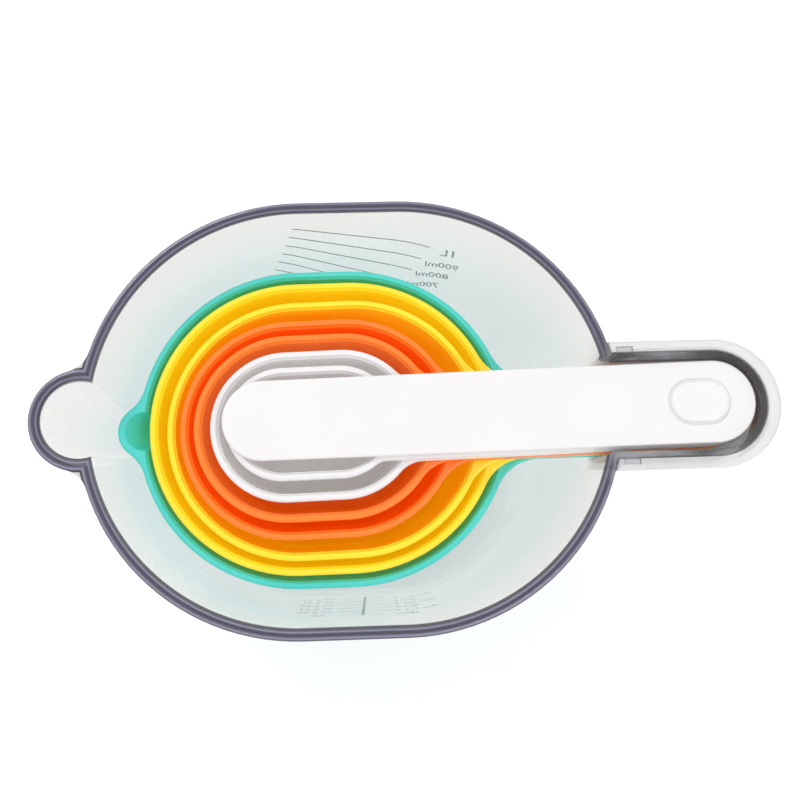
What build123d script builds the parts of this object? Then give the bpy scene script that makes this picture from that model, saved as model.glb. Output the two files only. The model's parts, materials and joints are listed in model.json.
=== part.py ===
from build123d import *
import math
import os

os.makedirs("parts", exist_ok=True)

# Frame: origin at the centre of the jug's base, +Z up, +X towards the handle, millimetres.

# jug, a stadium in plan that tapers down to its base
JUG_HEIGHT = 101.0
JUG_STRAIGHT = 28.3
JUG_RIM_WIDTH = 125.0
JUG_RIM_BAND = 3.0
RIM_FILLET = 1.0
JUG_WALL_HALF = 61.0
JUG_BASE_HALF = 48.1
JUG_WALL = 2.2
JUG_FLOOR = 3.0
JUG_BASE_FILLET = 8.0

# jug spout
SPOUT_X = -75.5
SPOUT_RADIUS = 14.5
SPOUT_DEPTH = 50.0
SPOUT_FOOT_X = -62.0
SPOUT_FOOT_RADIUS = 6.0
SPOUT_NECK_FILLET = 8.0

# open trough that forms the jug's handle
TROUGH_HALF = 13.2
TROUGH_WALL = 2.0
TROUGH_END_X = 103.3
TROUGH_DEPTH = 25.0
TROUGH_FLOOR = 1.8
TROUGH_MOUTH_FILLET = 3.0
TROUGH_LIP = 0.7

# grip, a flanged skirt pushed over the trough and held by the trough's two lugs in its windows
GRIP_START_X = 77.0
GRIP_HALF = 18.55
GRIP_END_X = 104.05
GRIP_CLEARANCE = 0.25
SKIRT_WALL = 1.4
SKIRT_DEPTH = 14.0
GRIP_FLANGE = 2.6
FLANGE_START_X = 60.0
LUG_LENGTH = 4.3
LUG_REACH = 1.6
LUG_HEIGHT = 2.0
LUG_TOP = 0.5
LUG_X = 78.6
LUG_CLEARANCE = 0.25

# nesting stack of cups, which lies in the jug with a little play
CUP_WALL = 1.6
CUP_LIP = 0.6
CUP_SLOPE = 7.0
PLATE = 1.9
RIM_ROUND = 0.9
RIM_FLARE = 0.6
HANDLE_HALF = 11.9
HANDLE_END_X = 102.9

# name, rim width, straight length, rim level below the jug's rim, depth, bottom fillet, handle fillet,
# centre x, centre y, turn in degrees
CUPS = [
    ("teal_cup", 95.2, 14.8, 18.0, 79.7, 9.0, 14.0, -8.0, -0.45, 0.3),
    ("yellow_cup_large", 87.1, 15.4, 15.9, 46.0, 8.0, 14.0, -8.0, -0.7, 0.6),
    ("yellow_cup_small", 76.5, 16.0, 13.6, 41.0, 7.0, 14.0, -7.5, -1.8, 1.3),
    ("orange_cup_large", 64.4, 16.0, 11.3, 36.5, 6.0, 13.0, -9.4, -2.1, 1.3),
    ("orange_cup_small", 54.6, 16.0, 9.0, 32.0, 5.0, 12.0, -10.1, -2.1, 1.3),
    ("white_cup", 43.5, 16.0, 6.5, 28.0, 4.5, 9.0, -10.6, -2.1, 1.3),
    ("white_spoon", 32.6, 16.0, 4.1, 15.5, 3.5, 6.0, -11.4, -1.8, 1.1),
]

# spout of the teal cup
CUP_SPOUT_OUT = 6.0
CUP_SPOUT_RADIUS = 8.0
CUP_SPOUT_FILLET = 12.0
CUP_SPOUT_DEPTH = 20.0
CUP_SPOUT_LEAN = 11.0
CUP_SPOUT_FOOT = 3.0

# leveller bar
LEVELLER_TOP = 1.5
LEVELLER_LEFT_X = -25.0
LEVELLER_LEFT_R = 11.4
LEVELLER_RIGHT_X = 103.75
LEVELLER_RIGHT_R = 12.0
LEVELLER_Y = -1.35
LEVELLER_TURN = 0.9
BOSS_X = 99.4
BOSS_STRAIGHT = 4.7
BOSS_WIDTH = 12.2
BOSS_HEIGHT = 1.2
GROOVE_WIDTH = 0.7
GROOVE_DEPTH = 0.4


def frustum(straight, half_top, half_bottom, z_top, z_bottom):
    """Tapered stadium between two levels."""
    height = z_top - z_bottom
    angle = math.degrees(math.atan((half_top - half_bottom) / height))
    top = Pos(0, 0, z_top) * SlotCenterToCenter(straight, 2 * half_top)
    return extrude(top, amount=-height, taper=angle)


def funnel(x_top, r_top, x_foot, r_foot, z_top, depth):
    """Leaning cone that carries a spout down into a wall."""
    top = Pos(x_top, 0, z_top) * Circle(r_top)
    foot = Pos(x_foot, 0, z_top - depth) * Circle(r_foot)
    return loft([foot, top])


def corners(sketch, low_x, high_x, half_y):
    """Vertices of a plan outline between two x values and within a distance of the x axis."""
    return [v for v in sketch.vertices() if low_x < v.X < high_x and abs(v.Y) < half_y]


def channel_plan(half, end_x, start_x):
    """Straight channel with a round end, in plan."""
    length = end_x - start_x
    bar = Pos(start_x + length / 2, 0) * Rectangle(length, 2 * half)
    return bar + Pos(end_x, 0) * Circle(half)


# --- jug ---
top = JUG_HEIGHT
rim_half = JUG_RIM_WIDTH / 2
outer = frustum(JUG_STRAIGHT, JUG_WALL_HALF, JUG_BASE_HALF, top, 0)
outer = fillet(outer.edges().group_by(Axis.Z)[0], JUG_BASE_FILLET)
spout_out = funnel(SPOUT_X, SPOUT_RADIUS - 1.3, SPOUT_FOOT_X, SPOUT_FOOT_RADIUS, top, SPOUT_DEPTH)
wall_slope = (JUG_WALL_HALF - JUG_BASE_HALF) / JUG_HEIGHT
inner_top = JUG_WALL_HALF - JUG_WALL
inner_bottom = inner_top - wall_slope * (top - JUG_FLOOR)
inner = frustum(JUG_STRAIGHT, inner_top, inner_bottom, top, JUG_FLOOR)
inner = fillet(inner.edges().group_by(Axis.Z)[0], JUG_BASE_FILLET - 1)
spout_in = funnel(
    SPOUT_X, SPOUT_RADIUS - 1.3 - JUG_WALL, SPOUT_FOOT_X, SPOUT_FOOT_RADIUS - JUG_WALL, top, SPOUT_DEPTH
)

rim_plan = SlotCenterToCenter(JUG_STRAIGHT, JUG_RIM_WIDTH) + Pos(SPOUT_X, 0) * Circle(SPOUT_RADIUS)
rim_plan = fillet(corners(rim_plan, -76, -60, 2 * SPOUT_RADIUS), SPOUT_NECK_FILLET)
rim = Pos(0, 0, top - JUG_RIM_BAND) * extrude(rim_plan, amount=JUG_RIM_BAND)
rim = fillet(rim.edges().group_by(Axis.Z)[-1], RIM_FILLET)

trough_out = channel_plan(TROUGH_HALF + TROUGH_WALL, TROUGH_END_X, 62)
trough_height = TROUGH_DEPTH + TROUGH_FLOOR
trough = Pos(0, 0, top - trough_height) * extrude(trough_out, amount=trough_height)
trough = fillet(trough.edges().group_by(Axis.Z)[0], 2.5)
trough = fillet(trough.edges().group_by(Axis.Z)[-1], TROUGH_LIP)
trough_in = channel_plan(TROUGH_HALF, TROUGH_END_X, 56)
slot = Pos(0, 0, top - TROUGH_DEPTH) * extrude(trough_in, amount=TROUGH_DEPTH + 1)
slot = fillet(slot.edges().group_by(Axis.Z)[0], 1.5)
flare_plan = channel_plan(TROUGH_HALF + TROUGH_LIP, TROUGH_END_X, 56)
flare = Pos(0, 0, top) * extrude(flare_plan, amount=-TROUGH_LIP, taper=45)

jug = outer + spout_out + rim + trough - inner - spout_in - slot - flare
mouth = [e for e in jug.edges().filter_by_position(Axis.X, 60, 75) if 20 < e.length < TROUGH_DEPTH + 1]
mouth = [e for e in mouth if abs(abs(e.center().Y) - TROUGH_HALF) < 0.5]
jug = fillet(mouth, TROUGH_MOUTH_FILLET)
for side in (-1, 1):
    lug_y = side * (TROUGH_HALF + TROUGH_WALL + LUG_REACH / 2)
    lug = Box(LUG_LENGTH, LUG_REACH + 0.2, LUG_HEIGHT)
    jug = jug + Pos(LUG_X, lug_y - side * 0.1, top - LUG_TOP - LUG_HEIGHT / 2) * lug
export_step(jug, "parts/jug.step")
print("jug", jug.volume, len(jug.solids()), "mouth edges", len(mouth))

# --- handle grip ---
nest_half = TROUGH_HALF + TROUGH_WALL + GRIP_CLEARANCE
skirt_plan = channel_plan(nest_half + SKIRT_WALL, TROUGH_END_X, GRIP_START_X)
skirt = Pos(0, 0, top - SKIRT_DEPTH) * extrude(skirt_plan, amount=SKIRT_DEPTH)
flange_plan = channel_plan(GRIP_HALF, GRIP_END_X, FLANGE_START_X)
flange_plan = flange_plan - SlotCenterToCenter(JUG_STRAIGHT, JUG_RIM_WIDTH + 2 * GRIP_CLEARANCE)
flange = Pos(0, 0, top - GRIP_FLANGE) * extrude(flange_plan, amount=GRIP_FLANGE)
grip = skirt + flange
grip = fillet(grip.edges().group_by(Axis.Z)[-1], 0.7)
nest_plan = channel_plan(nest_half, TROUGH_END_X, FLANGE_START_X)
nest = Pos(0, 0, top - SKIRT_DEPTH - 1) * extrude(nest_plan, amount=SKIRT_DEPTH + 2)
grip = grip - nest
for side in (-1, 1):
    window = Box(LUG_LENGTH + 2 * LUG_CLEARANCE, LUG_REACH + 1.0, 2 * GRIP_FLANGE)
    window_y = side * (TROUGH_HALF + TROUGH_WALL + LUG_REACH + LUG_CLEARANCE - (LUG_REACH + 1.0) / 2)
    grip = grip - Pos(LUG_X, window_y, top) * window
export_step(grip, "parts/handle_grip.step")
print("grip", grip.volume, len(grip.solids()))

# --- cups ---
for name, width, straight, level, depth, bottom_fillet, handle_fillet, place_x, place_y, turn in CUPS:
    half = width / 2
    wall_half = half - CUP_LIP
    foot_half = wall_half - depth * math.tan(math.radians(CUP_SLOPE))
    body = frustum(straight, wall_half, foot_half, 0, -depth)
    body = fillet(body.edges().group_by(Axis.Z)[0], bottom_fillet)
    hollow_foot = wall_half - CUP_WALL - (depth - CUP_WALL) * math.tan(math.radians(CUP_SLOPE))
    hollow = frustum(straight, wall_half - CUP_WALL, hollow_foot, 0, CUP_WALL - depth)
    hollow = fillet(hollow.edges().group_by(Axis.Z)[0], bottom_fillet - 1)
    plan = SlotCenterToCenter(straight, width)
    if name == "teal_cup":
        tip_x = -straight / 2 - half - CUP_SPOUT_OUT
        lobe_x = tip_x + CUP_SPOUT_RADIUS
        plan = plan + Pos(lobe_x, 0) * Circle(CUP_SPOUT_RADIUS)
        plan = fillet(corners(plan, -60, -45, 2 * CUP_SPOUT_RADIUS), CUP_SPOUT_FILLET)
        foot_x = lobe_x + CUP_SPOUT_LEAN
        lip = CUP_SPOUT_RADIUS - CUP_LIP
        body = body + funnel(lobe_x, lip, foot_x, CUP_SPOUT_FOOT, 0, CUP_SPOUT_DEPTH)
        hollow = hollow + funnel(lobe_x, lip - CUP_WALL, foot_x, CUP_SPOUT_FOOT - CUP_WALL, 0, CUP_SPOUT_DEPTH)
    plan = plan + channel_plan(HANDLE_HALF, HANDLE_END_X - place_x, 0)
    plan = fillet(corners(plan, 8, half + straight / 2, HANDLE_HALF + 1), handle_fillet)
    plate = Pos(0, 0, -PLATE) * extrude(plan, amount=PLATE)
    plate = fillet(plate.edges().group_by(Axis.Z)[-1], RIM_ROUND)
    flare_plan = SlotCenterToCenter(straight, 2 * (wall_half - CUP_WALL + RIM_FLARE))
    flare = extrude(flare_plan, amount=-RIM_ROUND, taper=math.degrees(math.atan(RIM_FLARE / RIM_ROUND)))
    cup = body + plate - hollow - flare
    place = Pos(place_x, place_y, top - level) * Rot(0, 0, turn)
    cup = place * cup
    export_step(cup, "parts/" + name + ".step")
    print(name, cup.volume, len(cup.solids()), "holds ml", round(hollow.volume / 1000, 1))

# --- leveller ---
left = Circle(LEVELLER_LEFT_R)
right = Pos(LEVELLER_RIGHT_X - LEVELLER_LEFT_X, 0) * Circle(LEVELLER_RIGHT_R)
bar_plan = make_hull(left.edges() + right.edges())
bar = Pos(0, 0, -PLATE) * extrude(bar_plan, amount=PLATE)
bar = fillet(bar.edges(), 0.6)
boss_place = Pos(BOSS_X - LEVELLER_LEFT_X, 0, 0)
boss_plan = SlotCenterToCenter(BOSS_STRAIGHT, BOSS_WIDTH)
groove_plan = SlotCenterToCenter(BOSS_STRAIGHT, BOSS_WIDTH + 2 * GROOVE_WIDTH) - boss_plan
groove = extrude(groove_plan, amount=-GROOVE_DEPTH)
boss = extrude(boss_plan, amount=BOSS_HEIGHT)
boss = fillet(boss.edges().group_by(Axis.Z)[-1], BOSS_HEIGHT - 0.1)
bar = bar - boss_place * groove + boss_place * boss
bar = Pos(LEVELLER_LEFT_X, LEVELLER_Y, top - LEVELLER_TOP) * Rot(0, 0, LEVELLER_TURN) * bar
export_step(bar, "parts/leveller.step")
print("leveller", bar.volume, len(bar.solids()))
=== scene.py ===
import json
import math

import bpy
from mathutils import Matrix, Vector


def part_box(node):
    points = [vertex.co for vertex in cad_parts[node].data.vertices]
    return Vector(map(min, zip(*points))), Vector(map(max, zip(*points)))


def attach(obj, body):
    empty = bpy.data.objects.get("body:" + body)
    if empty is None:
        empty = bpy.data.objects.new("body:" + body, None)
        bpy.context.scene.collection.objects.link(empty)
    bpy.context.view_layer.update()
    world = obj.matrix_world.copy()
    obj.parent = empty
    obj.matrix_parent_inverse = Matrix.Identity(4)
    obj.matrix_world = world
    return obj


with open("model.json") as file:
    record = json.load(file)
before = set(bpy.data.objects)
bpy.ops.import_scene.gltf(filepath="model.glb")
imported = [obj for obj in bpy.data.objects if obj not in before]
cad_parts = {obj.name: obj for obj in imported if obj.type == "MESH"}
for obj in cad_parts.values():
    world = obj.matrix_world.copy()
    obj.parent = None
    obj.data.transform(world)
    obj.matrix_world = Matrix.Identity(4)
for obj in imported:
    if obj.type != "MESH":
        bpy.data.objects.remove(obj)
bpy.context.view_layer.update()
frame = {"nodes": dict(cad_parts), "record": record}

# ---------------------------------------------------------------- sizes, metres
MM = 0.001
JUG_LOW, JUG_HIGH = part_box("jug")
RIM_Z = JUG_HIGH[2]
RIM_HALF = JUG_HIGH[1]
STRAIGHT_HALF = 14.15 * MM
RIM_DEPTH = 3.1 * MM
RIM_BAND = 3.75 * MM
SPOUT_RADIUS = 14.5 * MM
SPOUT_X = JUG_LOW[0] + SPOUT_RADIUS
TROUGH_HALF = 15.2 * MM
TROUGH_START_X = 70.0 * MM
TROUGH_END_X = 103.3 * MM
HANDLE_START_X = 73.5 * MM

# outside of the jug's wall, a tapered stadium
WALL_TOP_HALF = 61.0 * MM
WALL_BASE_HALF = 48.1 * MM
WALL_TAPER = (WALL_TOP_HALF - WALL_BASE_HALF) / RIM_Z
PRINT_GAP = 0.05 * MM

# back scale: x and depth of the two ends of the top line, and how far each line is from the last
BACK_LINES = 8
BACK_LINE_WIDTH = 0.66 * MM
BACK_LEFT_X, BACK_LEFT_X_STEP = -16.5 * MM, -1.44 * MM
BACK_LEFT_DEPTH, BACK_LEFT_DEPTH_STEP = 13.6 * MM, 5.3 * MM
BACK_RIGHT_X, BACK_RIGHT_X_STEP = 25.7 * MM, -2.4 * MM
BACK_RIGHT_DEPTH, BACK_RIGHT_DEPTH_STEP = 25.5 * MM, 9.0 * MM
BACK_WORDS_X, BACK_WORDS_X_STEP = 38.2 * MM, -2.7 * MM
BACK_WORDS_DEPTH, BACK_WORDS_DEPTH_STEP = 28.5 * MM, 8.4 * MM
BACK_WORDS_HEIGHT = 5.2 * MM
BACK_WORDS_SLOPE = -0.22
TOP_WORDS_X = 34.4 * MM
TOP_WORDS_HEIGHT = 6.4 * MM
TOP_MILLILITRES, MILLILITRE_STEP = 1000, 100

# front scale: two columns of short lines, ounces on the left and cups on the right
FRONT_ROWS = 6
FRONT_TOP = 41.0 * MM
FRONT_PITCH = 8.6 * MM
FRONT_LINE_WIDTH = 0.45 * MM
OUNCE_LINE = (-6.3 * MM, 1.2 * MM)
CUP_LINE = (3.2 * MM, 10.6 * MM)
OUNCE_WORDS_X = -19.0 * MM
CUP_WORDS_X = 12.0 * MM
FRONT_WORDS_DROP = 1.4 * MM
FRONT_WORDS_HEIGHT = 4.4 * MM
HEADING_X = -14.6 * MM
HEADING_DROP = 1.6 * MM
HEADING_HEIGHT = 6.0 * MM
DIVIDER_X = (1.7 * MM, 2.6 * MM)
DIVIDER_WIDTH = 0.9 * MM
DIVIDER_OVER, DIVIDER_UNDER = 1.0 * MM, 4.0 * MM
TOP_OUNCES, OUNCE_STEP = 32, 4
TOP_HALF_CUPS = 8

# camera
CAMERA_PLACE = Vector((0.00257, -0.05602, RIM_Z + 0.30379))
CAMERA_RIGHT = Vector((0.99898, -0.033155, 0.030610))
CAMERA_UP = Vector((0.026679, 0.981055, 0.191906))
CAMERA_BACK = Vector((-0.036392, -0.190894, 0.980940))
CAMERA_LENS = 49.5
CAMERA_SENSOR = 36.0

# stage and lights
FLOOR_SIZE = 6.0
FLOOR_DROP = 0.4 * MM
FLOOR_GLOW = 0.20
WORLD_STRENGTH = 0.86
SOFTBOX_SIZE = (0.40, 0.14)
SOFTBOX_TARGET = (0, 0, 0.05)
KEY_PLACE, KEY_POWER = (-0.35, 0.55, 0.95), 2.4
FILL_PLACE, FILL_POWER = (0.5, -0.45, 0.8), 1.4


# ---------------------------------------------------------------- node helpers
def new_material(name):
    material = bpy.data.materials.new(name)
    material.use_nodes = True
    tree = material.node_tree
    return material, tree, tree.nodes["Principled BSDF"]


def noise(tree, scale, detail=3.0, stretch=(1, 1, 1)):
    """Noise in the piece's own metres."""
    place = tree.nodes.new("ShaderNodeTexCoord")
    mapping = tree.nodes.new("ShaderNodeMapping")
    mapping.inputs["Scale"].default_value = stretch
    texture = tree.nodes.new("ShaderNodeTexNoise")
    texture.inputs["Scale"].default_value = scale
    texture.inputs["Detail"].default_value = detail
    tree.links.new(place.outputs["Object"], mapping.inputs["Vector"])
    tree.links.new(mapping.outputs["Vector"], texture.inputs["Vector"])
    return texture.outputs["Fac"]


def ramp(tree, factor, stops):
    """Colour ramp from (position, colour) stops."""
    node = tree.nodes.new("ShaderNodeValToRGB")
    elements = node.color_ramp.elements
    while len(elements) < len(stops):
        elements.new(0.5)
    for element, (position, colour) in zip(elements, stops):
        element.position = position
        element.color = (*colour, 1.0)
    tree.links.new(factor, node.inputs["Fac"])
    return node.outputs["Color"]


def maths(tree, operation, *values, clamp=False):
    """Math node; each value is a socket or a number."""
    node = tree.nodes.new("ShaderNodeMath")
    node.operation = operation
    node.use_clamp = clamp
    for socket, value in zip(node.inputs, values):
        if isinstance(value, (int, float)):
            socket.default_value = value
        else:
            tree.links.new(value, socket)
    return node.outputs[0]


def remap(tree, value, low, high, out_low=0.0, out_high=1.0):
    node = tree.nodes.new("ShaderNodeMapRange")
    for name, number in (("From Min", low), ("From Max", high), ("To Min", out_low), ("To Max", out_high)):
        node.inputs[name].default_value = number
    tree.links.new(value, node.inputs["Value"])
    return node.outputs["Result"]


def blend_colours(tree, factor, first, second):
    node = tree.nodes.new("ShaderNodeMix")
    node.data_type = "RGBA"
    for value, socket in ((factor, node.inputs[0]), (first, node.inputs[6]), (second, node.inputs[7])):
        if isinstance(value, tuple):
            socket.default_value = (*value, 1.0)
        else:
            tree.links.new(value, socket)
    return node.outputs[2]


def bump(tree, shader, height, strength, distance):
    node = tree.nodes.new("ShaderNodeBump")
    node.inputs["Strength"].default_value = strength
    node.inputs["Distance"].default_value = distance
    tree.links.new(height, node.inputs["Height"])
    tree.links.new(node.outputs["Normal"], shader.inputs["Normal"])


# ---------------------------------------------------------------- materials
PAINTED_CUP_GLOW_STRENGTH = 0.16  # strength of the painted glow, emission that stands in for light soaking through a coloured wall
PAINTED_CLEAR_GLOW_STRENGTH = 0.20  # the same painted glow, for the clear wall of the jug


def moulded_plastic(name, colour, deep, roughness, glow, coat=0.15):
    """Glossy injection-moulded plastic: faint flow variation, fine orange peel, uneven gloss.

    glow is the colour of a painted glow: emission that stands in for the light soaking through the thin
    walls, and keeps the gaps bright."""
    material, tree, shader = new_material(name)
    flow = noise(tree, 45.0, 2.0, stretch=(1, 1, 0.4))
    tree.links.new(ramp(tree, flow, [(0.30, deep), (0.70, colour)]), shader.inputs["Base Color"])
    peel = noise(tree, 900.0, 2.0)
    wear = noise(tree, 160.0, 5.0)
    uneven_gloss = remap(tree, wear, 0.3, 0.7, roughness - 0.04, roughness + 0.06)
    tree.links.new(uneven_gloss, shader.inputs["Roughness"])
    bump(tree, shader, peel, 0.06, 0.0002)
    shader.inputs["IOR"].default_value = 1.5
    shader.inputs["Coat Weight"].default_value = coat
    shader.inputs["Coat Roughness"].default_value = 0.12
    # painted glow: emission that brightens the walls and the gaps between the cups
    shader.inputs["Emission Color"].default_value = (*glow, 1.0)
    shader.inputs["Emission Strength"].default_value = PAINTED_CUP_GLOW_STRENGTH
    return material


def edge_distance(tree):
    """Distance inside the jug's outer outline in plan: 0 on the outside edge, negative inside, metres."""
    place = tree.nodes.new("ShaderNodeTexCoord")
    split = tree.nodes.new("ShaderNodeSeparateXYZ")
    tree.links.new(place.outputs["Object"], split.inputs["Vector"])
    x, y, z = split.outputs
    y_squared = maths(tree, "MULTIPLY", y, y)

    def from_span(low, high, radius):
        nearest = maths(tree, "MINIMUM", maths(tree, "MAXIMUM", x, low), high)
        along = maths(tree, "SUBTRACT", x, nearest)
        squared = maths(tree, "ADD", maths(tree, "MULTIPLY", along, along), y_squared)
        return maths(tree, "SUBTRACT", maths(tree, "SQRT", squared), radius)

    body = from_span(-STRAIGHT_HALF, STRAIGHT_HALF, RIM_HALF)
    spout = from_span(SPOUT_X, SPOUT_X, SPOUT_RADIUS)
    trough = from_span(TROUGH_START_X, TROUGH_END_X, TROUGH_HALF)
    nearest = maths(tree, "MINIMUM", maths(tree, "MINIMUM", body, spout), trough)
    return nearest, x, z


LUG_COLOUR = (0.66, 0.66, 0.68)
# colour of the painted glow on the jug's clear wall
CLEAR_WALL_PAINTED_EMISSION = (1.0, 0.93, 0.93)


def clear_plastic():
    """Clear polystyrene; the rim and the trough look darker than the wall because they carry painted
    reflections, near-black with stripes of painted highlight.
    """
    material, tree, shader = new_material("clear_plastic")
    distance, x, z = edge_distance(tree)
    across = remap(tree, distance, -3.8 * MM, 0.0)
    # painted reflection across the rim: near-black bands with two pale bluish stripes of painted highlight
    painted_rim_reflection = ramp(
        tree,
        across,
        [
            (0.0, (0.010, 0.008, 0.016)),
            (0.26, (0.018, 0.015, 0.034)),
            (0.36, (0.20, 0.19, 0.30)),
            (0.48, (0.022, 0.018, 0.048)),
            (0.66, (0.040, 0.036, 0.075)),
            (0.84, (0.28, 0.27, 0.38)),
            (0.95, (0.010, 0.008, 0.020)),
        ],
    )
    high = remap(tree, z, RIM_Z - RIM_DEPTH - 0.2 * MM, RIM_Z - RIM_DEPTH + 0.2 * MM)
    on_rim = maths(tree, "MULTIPLY", high, remap(tree, distance, -RIM_BAND, -RIM_BAND + 0.25 * MM))
    on_trough = remap(tree, x, HANDLE_START_X - 3 * MM, HANDLE_START_X + 2 * MM)
    # painted reflection inside the trough: near-black, streaked with pale painted highlight
    streak = noise(tree, 60.0, 3.0, stretch=(0.5, 1, 3))
    painted_reflection_stops = [
        (0.34, (0.022, 0.018, 0.020)),
        (0.56, (0.060, 0.055, 0.062)),
        (0.68, (0.35, 0.35, 0.38)),
    ]
    painted_trough_reflection = ramp(tree, streak, painted_reflection_stops)
    wall_colour = ramp(tree, noise(tree, 25.0), [(0.3, (0.47, 0.45, 0.45)), (0.7, (0.52, 0.50, 0.50))])
    # painted reflections of the rim and the trough, turned pale on the lugs beside the trough
    dark = blend_colours(tree, on_trough, painted_rim_reflection, painted_trough_reflection)
    rim_and_trough = maths(tree, "MAXIMUM", on_rim, on_trough)
    beside = remap(tree, distance, 0.2 * MM, 0.4 * MM)
    dark = blend_colours(tree, beside, dark, LUG_COLOUR)
    tree.links.new(blend_colours(tree, rim_and_trough, wall_colour, dark), shader.inputs["Base Color"])
    # painted glow on the clear wall, none on the rim and the trough
    tree.links.new(blend_colours(tree, rim_and_trough, CLEAR_WALL_PAINTED_EMISSION, (0.0, 0.0, 0.0)), shader.inputs["Emission Color"])
    shader.inputs["Emission Strength"].default_value = PAINTED_CLEAR_GLOW_STRENGTH
    facing = tree.nodes.new("ShaderNodeLayerWeight")
    facing.inputs["Blend"].default_value = 0.25
    wall_alpha = remap(tree, facing.outputs["Facing"], 0.0, 1.0, 0.20, 0.48)
    trough_alpha = remap(tree, x, HANDLE_START_X - 1 * MM, HANDLE_START_X + 1 * MM, 0.90, 0.66)
    mixed = tree.nodes.new("ShaderNodeMix")
    mixed.data_type = "FLOAT"
    tree.links.new(rim_and_trough, mixed.inputs[0])
    tree.links.new(wall_alpha, mixed.inputs[2])
    tree.links.new(trough_alpha, mixed.inputs[3])
    tree.links.new(mixed.outputs[0], shader.inputs["Alpha"])
    smudge = noise(tree, 70.0, 5.0)
    tree.links.new(remap(tree, smudge, 0.3, 0.7, 0.05, 0.11), shader.inputs["Roughness"])
    bump(tree, shader, noise(tree, 40.0, 1.0), 0.05, 0.0003)
    shader.inputs["IOR"].default_value = 1.57
    return material


def frosted_plastic():
    """Milky translucent grip, a little uneven in density."""
    material, tree, shader = new_material("frosted_grip")
    cloud = noise(tree, 60.0, 3.0)
    milk_stops = [(0.3, (0.74, 0.74, 0.75)), (0.7, (0.82, 0.82, 0.83))]
    tree.links.new(ramp(tree, cloud, milk_stops), shader.inputs["Base Color"])
    facing = tree.nodes.new("ShaderNodeLayerWeight")
    facing.inputs["Blend"].default_value = 0.35
    tree.links.new(remap(tree, facing.outputs["Facing"], 0.0, 1.0, 0.50, 0.92), shader.inputs["Alpha"])
    tree.links.new(remap(tree, noise(tree, 300.0), 0.3, 0.7, 0.28, 0.40), shader.inputs["Roughness"])
    bump(tree, shader, noise(tree, 1200.0, 2.0), 0.08, 0.0002)
    return material


def printing_ink():
    """Grey-black pad print, slightly thin in places."""
    material, tree, shader = new_material("printing_ink")
    patchy = noise(tree, 700.0, 4.0)
    ink_stops = [(0.3, (0.004, 0.004, 0.004)), (0.75, (0.02, 0.02, 0.02))]
    tree.links.new(ramp(tree, patchy, ink_stops), shader.inputs["Base Color"])
    tree.links.new(remap(tree, patchy, 0.3, 0.7, 0.45, 0.60), shader.inputs["Roughness"])
    return material


# name: colour, deeper colour, roughness, colour of the painted glow that stands in for light soaking through
MOULDED = {
    "teal_plastic": ((0.085, 0.66, 0.60), (0.065, 0.61, 0.55), 0.24, (0.01, 0.30, 0.27)),
    "yellow_plastic": ((0.95, 0.75, 0.030), (0.93, 0.71, 0.022), 0.25, (0.88, 0.60, 0.0)),
    "orange_plastic": ((0.96, 0.22, 0.020), (0.95, 0.19, 0.014), 0.25, (0.85, 0.16, 0.0)),
    "white_plastic": ((0.78, 0.775, 0.785), (0.76, 0.755, 0.765), 0.26, (0.60, 0.54, 0.50)),
}
PLASTICS = {name: moulded_plastic(name, *look) for name, look in MOULDED.items()}
PLASTICS["clear_plastic"] = clear_plastic()
PLASTICS["frosted_grip"] = frosted_plastic()
INK = printing_ink()

for entry in frame["record"]["subparts"]:
    node = frame["nodes"][entry["node"]]
    node.data.materials.clear()
    node.data.materials.append(PLASTICS[entry["material_slot"]])


# ---------------------------------------------------------------- printed scales on the jug
def wall_point(x, depth, side, proud=PRINT_GAP):
    """Point on the outside of the jug's wall, at x and a depth below the rim, on the side +1 (back) or -1."""
    half = WALL_TOP_HALF - WALL_TAPER * depth + proud
    beyond = max(abs(x) - STRAIGHT_HALF, 0.0)
    return Vector((x, side * math.sqrt(half * half - beyond * beyond), RIM_Z - depth))


def mesh_piece(name, points, faces):
    """Printed mesh that rides on the jug."""
    mesh = bpy.data.meshes.new(name)
    mesh.from_pydata([tuple(p) for p in points], [], faces)
    mesh.update()
    piece = bpy.data.objects.new(name, mesh)
    bpy.context.scene.collection.objects.link(piece)
    mesh.materials.append(INK)
    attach(piece, "jug")
    return piece


def strip(points, faces, start, end, width, side, segments=16):
    """Adds a printed line from start to end, each (x, depth), to a mesh's lists."""
    first = len(points)
    for i in range(segments + 1):
        t = i / segments
        x = start[0] + (end[0] - start[0]) * t
        depth = start[1] + (end[1] - start[1]) * t
        sideways = abs(end[1] - start[1]) > abs(end[0] - start[0])
        for sign in (-0.5, 0.5):
            shift = sign * width
            if sideways:
                points.append(wall_point(x + shift, depth, side))
            else:
                points.append(wall_point(x, depth + shift, side))
    for i in range(segments):
        a = first + 2 * i
        faces.append((a, a + 1, a + 3, a + 2))


def flat_words(words, height):
    """Mesh of one line of plain lettering in its own xy plane, starting at the origin."""
    curve = bpy.data.curves.new("words", "FONT")
    curve.body = words
    curve.size = height
    curve.offset = 0.010 * height
    curve.resolution_u = 2
    holder = bpy.data.objects.new("words", curve)
    bpy.context.scene.collection.objects.link(holder)
    bpy.context.view_layer.update()
    evaluated = holder.evaluated_get(bpy.context.evaluated_depsgraph_get())
    flat = bpy.data.meshes.new_from_object(evaluated)
    bpy.data.objects.remove(holder)
    bpy.data.curves.remove(curve)
    return flat


def lettering(points, faces, words, x, depth, height, side, slope=0.0, narrow=0.84):
    """Adds generic scale lettering that reads from outside, its left end at x, to a mesh's lists."""
    flat = flat_words(words, height)
    first = len(points)
    for vertex in flat.vertices:
        across = x - side * narrow * vertex.co.x
        down = depth - vertex.co.y - slope * narrow * vertex.co.x
        points.append(wall_point(across, down, side))
    for polygon in flat.polygons:
        faces.append(tuple(first + i for i in polygon.vertices))
    bpy.data.meshes.remove(flat)


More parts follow.
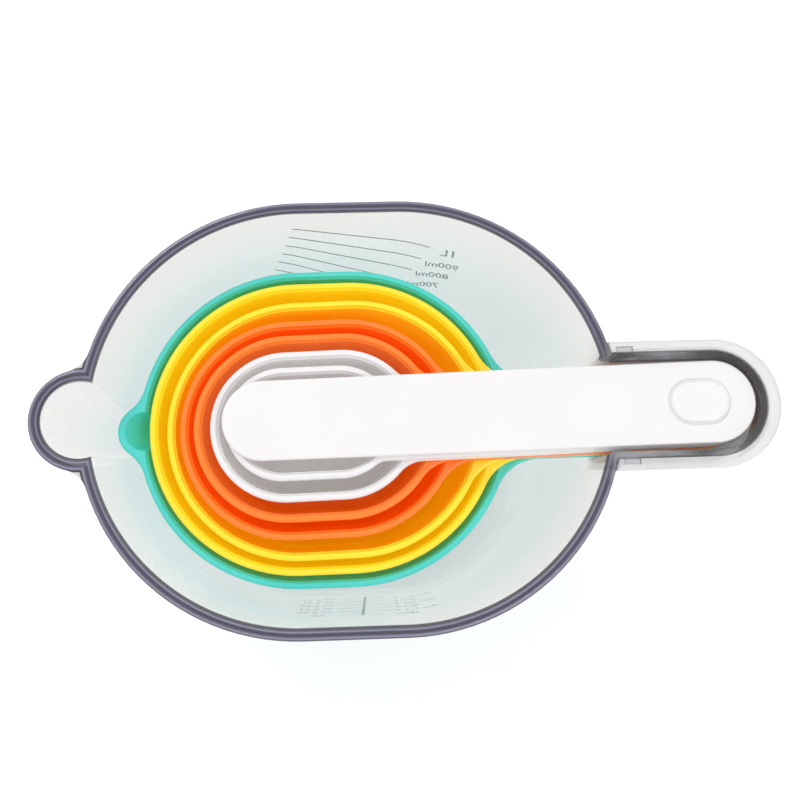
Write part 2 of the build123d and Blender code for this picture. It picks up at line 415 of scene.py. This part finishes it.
def back_scale():
    """Millilitre scale on the back wall: long lines that fan out, each with its value, not calibrated."""
    points, faces = [], []
    for i in range(BACK_LINES):
        left = (BACK_LEFT_X + BACK_LEFT_X_STEP * i, BACK_LEFT_DEPTH + BACK_LEFT_DEPTH_STEP * i)
        right = (BACK_RIGHT_X + BACK_RIGHT_X_STEP * i, BACK_RIGHT_DEPTH + BACK_RIGHT_DEPTH_STEP * i)
        strip(points, faces, left, right, BACK_LINE_WIDTH, 1)
        words = "1L" if i == 0 else str(TOP_MILLILITRES - MILLILITRE_STEP * i) + "ml"
        start = TOP_WORDS_X if i == 0 else BACK_WORDS_X + BACK_WORDS_X_STEP * i
        height = TOP_WORDS_HEIGHT if i == 0 else BACK_WORDS_HEIGHT
        depth = BACK_WORDS_DEPTH + BACK_WORDS_DEPTH_STEP * i
        lettering(points, faces, words, start, depth, height, 1, slope=BACK_WORDS_SLOPE)
    return mesh_piece("scale_back", points, faces)


def front_scale():
    """Ounces and cups on the front wall: short lines beside a dividing line, not calibrated."""
    points, faces = [], []
    for i in range(FRONT_ROWS):
        depth = FRONT_TOP + FRONT_PITCH * i
        for left, right in (OUNCE_LINE, CUP_LINE):
            strip(points, faces, (left, depth), (right, depth), FRONT_LINE_WIDTH, -1, 6)
        if i > 0:
            whole, half = divmod(TOP_HALF_CUPS - i, 2)
            ounces = str(TOP_OUNCES - OUNCE_STEP * i) + " fl oz"
            cups = str(whole) + (" 1/2" if half else "") + " cup"
            words_depth = depth + FRONT_WORDS_DROP
            lettering(points, faces, ounces, OUNCE_WORDS_X, words_depth, FRONT_WORDS_HEIGHT, -1)
            lettering(points, faces, cups, CUP_WORDS_X, words_depth, FRONT_WORDS_HEIGHT, -1)
    lettering(points, faces, "oz", HEADING_X, FRONT_TOP + HEADING_DROP, HEADING_HEIGHT, -1)
    lettering(points, faces, "cup", CUP_WORDS_X, FRONT_TOP + HEADING_DROP, HEADING_HEIGHT, -1)
    divider_top = FRONT_TOP - DIVIDER_OVER
    divider_bottom = FRONT_TOP + FRONT_PITCH * (FRONT_ROWS - 1) + DIVIDER_UNDER
    start, end = (DIVIDER_X[0], divider_top), (DIVIDER_X[1], divider_bottom)
    strip(points, faces, start, end, DIVIDER_WIDTH, -1, 12)
    return mesh_piece("scale_front", points, faces)


back_scale()
front_scale()


# ---------------------------------------------------------------- stage, lights, camera
def floor():
    bpy.ops.mesh.primitive_plane_add(size=FLOOR_SIZE, location=(0, 0, -FLOOR_DROP))
    plane = bpy.context.object
    plane.name = "floor"
    material, tree, shader = new_material("floor_white")
    tree.links.new(
        ramp(tree, noise(tree, 3.0), [(0.3, (0.90, 0.90, 0.90)), (0.7, (0.92, 0.92, 0.92))]),
        shader.inputs["Base Color"],
    )
    shader.inputs["Roughness"].default_value = 0.8
    shader.inputs["Emission Color"].default_value = (1, 1, 1, 1)
    shader.inputs["Emission Strength"].default_value = FLOOR_GLOW
    plane.data.materials.append(material)


def softbox(name, place, power):
    light = bpy.data.lights.new(name, "AREA")
    light.shape = "RECTANGLE"
    light.size, light.size_y = SOFTBOX_SIZE
    light.energy = power
    holder = bpy.data.objects.new(name, light)
    bpy.context.scene.collection.objects.link(holder)
    holder.location = place
    holder.rotation_euler = (Vector(SOFTBOX_TARGET) - Vector(place)).to_track_quat("-Z", "Y").to_euler()


def lighting():
    world = bpy.data.worlds.new("studio")
    world.use_nodes = True
    background = world.node_tree.nodes["Background"]
    background.inputs["Color"].default_value = (1, 1, 1, 1)
    background.inputs["Strength"].default_value = WORLD_STRENGTH
    bpy.context.scene.world = world
    softbox("key", KEY_PLACE, KEY_POWER)
    softbox("fill", FILL_PLACE, FILL_POWER)


def camera():
    lens = bpy.data.cameras.new("camera")
    lens.lens = CAMERA_LENS
    lens.sensor_width = CAMERA_SENSOR
    lens.clip_start = 0.01
    holder = bpy.data.objects.new("camera", lens)
    bpy.context.scene.collection.objects.link(holder)
    turn = Matrix((CAMERA_RIGHT, CAMERA_UP, CAMERA_BACK)).transposed().to_4x4()
    holder.matrix_world = Matrix.Translation(CAMERA_PLACE) @ turn
    bpy.context.scene.camera = holder


floor()
lighting()
camera()
bpy.context.scene.view_settings.view_transform = "Standard"
